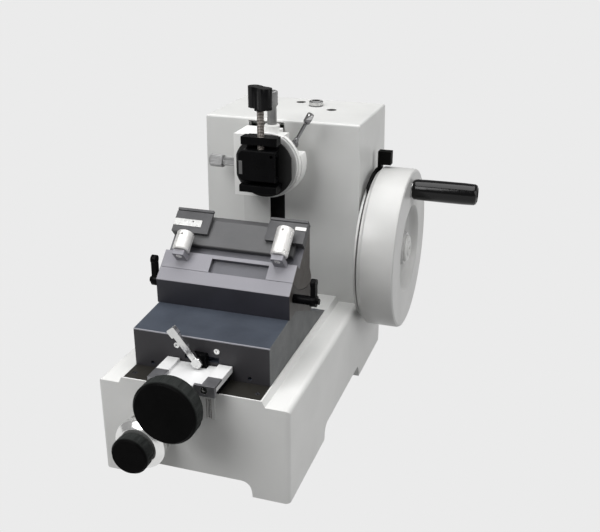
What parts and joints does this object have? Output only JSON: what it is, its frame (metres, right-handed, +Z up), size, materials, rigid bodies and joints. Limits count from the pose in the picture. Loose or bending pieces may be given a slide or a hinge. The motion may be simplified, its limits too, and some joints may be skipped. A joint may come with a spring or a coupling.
{
  "type": "rotary microtome",
  "caption": "Manual rotary microtome: L-shaped enamelled casting, right-hand crank wheel, oscillating specimen head with clamp, and a tilting knife holder on a feed stage.",
  "frame": {"origin": "centre of the whole footprint, handwheel and knobs included, at the height of the bench the pads stand on", "axes": "+X to the operator's right, towards the crank handle; +Y from the feed knob to the rear of the casting; +Z up"},
  "size_m": [0.306, 0.43, 0.347],
  "materials": {
    "white_enamel": "gloss",
    "grey_enamel": "satin",
    "blue_grey_enamel": "satin",
    "black_oxide": "satin",
    "dark_steel": "satin",
    "ground_steel": "brushed",
    "bright_steel": "polished",
    "satin_aluminium": "satin",
    "bronze": "machined",
    "slide_iron": "ground",
    "black_knob": "matte",
    "black_gloss": "gloss",
    "rubber": "matte"
  },
  "bodies": {
    "base": {"base_casting": "white_enamel", "foot_pads": "rubber", "column_housing": "white_enamel", "rear_cover": "grey_enamel", "rear_cover_screws": "bright_steel", "accessory_socket": "grey_enamel", "bed_plate": "dark_steel", "screw_bearing_block": "black_oxide", "front_plate": "white_enamel", "plate_clips": "ground_steel", "clip_screws": "bright_steel", "index_strip": "grey_enamel", "rear_screw_bearing": "dark_steel", "guide_rails": "ground_steel", "shaft_sleeve": "bronze", "drum_collar": "satin_aluminium"},
    "wheel": {"handwheel": "white_enamel", "hub_cap": "white_enamel", "main_shaft": "ground_steel", "crank_disc": "slide_iron", "counterweight": "slide_iron", "handle_bolt": "bright_steel"},
    "grip": {"handle_grip": "black_gloss"},
    "wheel_lock": {"lock_ring": "grey_enamel", "lock_lever": "black_knob"},
    "slide": {"carriage": "slide_iron", "yoke_plate": "ground_steel", "slot_cover": "grey_enamel", "head_housing": "white_enamel", "head_ring": "bright_steel"},
    "block": {"yoke_block": "bronze"},
    "head_lock": {"head_lever": "bright_steel"},
    "tilt_adjuster": {"tilt_screw": "satin_aluminium"},
    "swivel_adjuster": {"swivel_screw": "satin_aluminium"},
    "cradle": {"tilt_cradle": "ground_steel"},
    "clamp": {"swivel_ball": "ground_steel", "orientation_disc": "black_oxide", "clamp_frame": "black_oxide"},
    "jaw": {"moving_jaw": "black_oxide"},
    "spindle": {"clamp_spindle": "ground_steel", "wing_knob": "black_knob"},
    "stage": {"knife_base": "blue_grey_enamel", "base_screws": "bright_steel", "feed_nut": "bronze", "knife_cradle": "dark_steel"},
    "quick_clamp": {"bed_lever": "bright_steel"},
    "coarse_feed": {"coarse_knob": "black_knob", "feed_screw": "ground_steel"},
    "thickness": {"thickness_knob": "black_knob", "graduated_drum": "satin_aluminium", "thickness_spindle": "ground_steel"},
    "holder": {"tilt_segment": "ground_steel", "knife_clamps": "dark_steel", "clamp_bars": "bright_steel", "knife": "ground_steel"},
    "knife_screw_r": {"knife_screw_right": "satin_aluminium"},
    "knife_screw_l": {"knife_screw_left": "satin_aluminium"},
    "cradle_lock_r": {"cradle_lever_right": "black_oxide"},
    "cradle_lock_l": {"cradle_lever_left": "black_oxide"}
  },
  "joints": [
    {"name": "handwheel_turn", "type": "hinge", "parent": "base", "child": "wheel", "pos_m": [0.062, 0.125, 0.153], "axis": [1, 0, 0], "continuous": true},
    {"name": "grip_spin", "type": "hinge", "parent": "wheel", "child": "grip", "pos_m": [0.117, 0.125, 0.223], "axis": [1, 0, 0], "continuous": true},
    {"name": "wheel_lock_turn", "type": "hinge", "parent": "base", "child": "wheel_lock", "pos_m": [0.038, 0.125, 0.153], "axis": [1, 0, 0], "range_deg": [0, 25]},
    {"name": "specimen_stroke", "type": "slide", "parent": "base", "child": "slide", "axis": [0, 0, 1], "range_m": [-0.058, 0]},
    {"name": "yoke_block_slide", "type": "slide", "parent": "slide", "child": "block", "axis": [0, 1, 0], "range_m": [-0.029, 0.029]},
    {"name": "head_lock_turn", "type": "hinge", "parent": "slide", "child": "head_lock", "pos_m": [-0.0284, 0.0425, 0.2837], "axis": [0, 1, 0], "range_deg": [-20, 30]},
    {"name": "tilt_screw_turn", "type": "hinge", "parent": "slide", "child": "tilt_adjuster", "pos_m": [-0.0535, 0.048, 0.3025], "axis": [0, 0, 1], "range_deg": [-1082, 1082]},
    {"name": "swivel_screw_turn", "type": "hinge", "parent": "slide", "child": "swivel_adjuster", "pos_m": [-0.1105, 0.047, 0.259], "axis": [1, 0, 0], "range_deg": [-1082, 1082]},
    {"name": "head_tilt", "type": "hinge", "parent": "slide", "child": "cradle", "pos_m": [-0.054, 0.0415, 0.2635], "axis": [1, 0, 0], "range_deg": [-8, 8]},
    {"name": "head_swivel", "type": "hinge", "parent": "cradle", "child": "clamp", "pos_m": [-0.054, 0.0415, 0.2635], "axis": [0, 0, 1], "range_deg": [-8, 8]},
    {"name": "jaw_slide", "type": "slide", "parent": "clamp", "child": "jaw", "axis": [0, 0, 1], "range_m": [-0.0038, 0.0042]},
    {"name": "spindle_turn", "type": "hinge", "parent": "jaw", "child": "spindle", "pos_m": [-0.0525, 0.012, 0.2975], "axis": [0, 0, 1], "range_deg": [-914, 1010]},
    {"name": "stage_feed", "type": "slide", "parent": "base", "child": "stage", "axis": [0, 1, 0], "range_m": [0, 0.014]},
    {"name": "coarse_feed_turn", "type": "hinge", "parent": "base", "child": "coarse_feed", "pos_m": [-0.059, -0.205, 0.1084], "axis": [0, 1, 0], "range_deg": [0, 2523]},
    {"name": "bed_lever_turn", "type": "hinge", "parent": "base", "child": "quick_clamp", "pos_m": [-0.0571, -0.1474, 0.1245], "axis": [0, 1, 0], "range_deg": [0, 79]},
    {"name": "thickness_turn", "type": "hinge", "parent": "base", "child": "thickness", "pos_m": [-0.103, -0.185, 0.049], "axis": [0, 1, 0], "range_deg": [0, 300]},
    {"name": "holder_tilt", "type": "hinge", "parent": "stage", "child": "holder", "pos_m": [-0.0585, -0.027, 0.226], "axis": [1, 0, 0], "range_deg": [-5, 5]},
    {"name": "knife_screw_right_turn", "type": "hinge", "parent": "holder", "child": "knife_screw_r", "pos_m": [-0.0065, -0.0668, 0.20431], "axis": [0, 0.7373, 0.6756], "range_deg": [-180, 180]},
    {"name": "knife_screw_left_turn", "type": "hinge", "parent": "holder", "child": "knife_screw_l", "pos_m": [-0.107, -0.07001, 0.19893], "axis": [0, 0.7373, 0.6756], "range_deg": [-180, 180]},
    {"name": "cradle_lever_right_turn", "type": "hinge", "parent": "stage", "child": "cradle_lock_r", "pos_m": [0.022, -0.073, 0.16593], "axis": [1, 0, 0], "range_deg": [-60, 60]},
    {"name": "cradle_lever_left_turn", "type": "hinge", "parent": "stage", "child": "cradle_lock_l", "pos_m": [-0.134, -0.073, 0.16593], "axis": [1, 0, 0], "range_deg": [-60, 60]}
  ],
  "couplings": [
    {"joint": "tilt_screw_turn", "follows": "head_tilt", "ratio": 135},
    {"joint": "swivel_screw_turn", "follows": "head_swivel", "ratio": 135},
    {"joint": "spindle_turn", "follows": "jaw_slide", "rad_per_m": 4188.8},
    {"joint": "coarse_feed_turn", "follows": "stage_feed", "rad_per_m": 3141.6}
  ]
}
